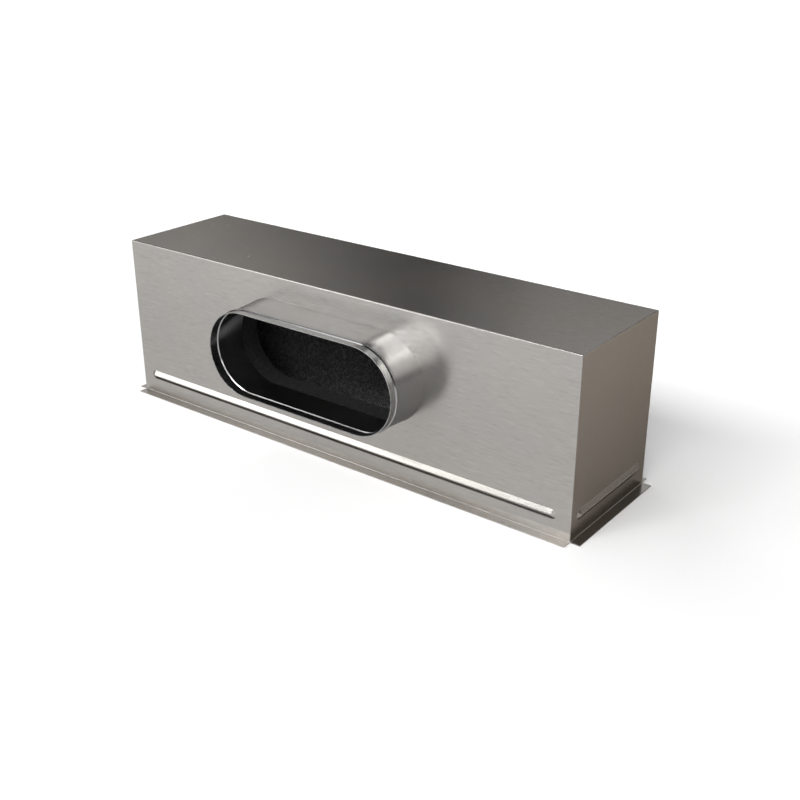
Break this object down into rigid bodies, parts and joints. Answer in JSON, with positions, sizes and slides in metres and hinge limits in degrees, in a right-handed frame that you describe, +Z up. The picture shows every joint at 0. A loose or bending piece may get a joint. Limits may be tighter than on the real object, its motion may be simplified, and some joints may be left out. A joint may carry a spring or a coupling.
{
  "type": "insulated supply plenum",
  "caption": "Long foam-lined sheet-steel plenum box, open at the bottom between out-turned flanges, with a flat-oval duct spigot on its front.",
  "frame": {"origin": "centre of the open bottom, in the plane of the flanges' undersides", "axes": "+X along the length, -Y the way the spigot points, +Z up from the flanges to the top"},
  "size_m": [0.6214, 0.2092, 0.1905],
  "materials": {
    "galvanised_steel": "satin, finely rolled along the sheet",
    "black_foam": "matte, fine open speckle"
  },
  "bodies": {
    "root": {"plenum_shell": "galvanised_steel", "oval_spigot": "galvanised_steel", "lining_top": "black_foam", "lining_front": "black_foam", "lining_back": "black_foam", "lining_left": "black_foam", "lining_right": "black_foam"}
  },
  "joints": []
}
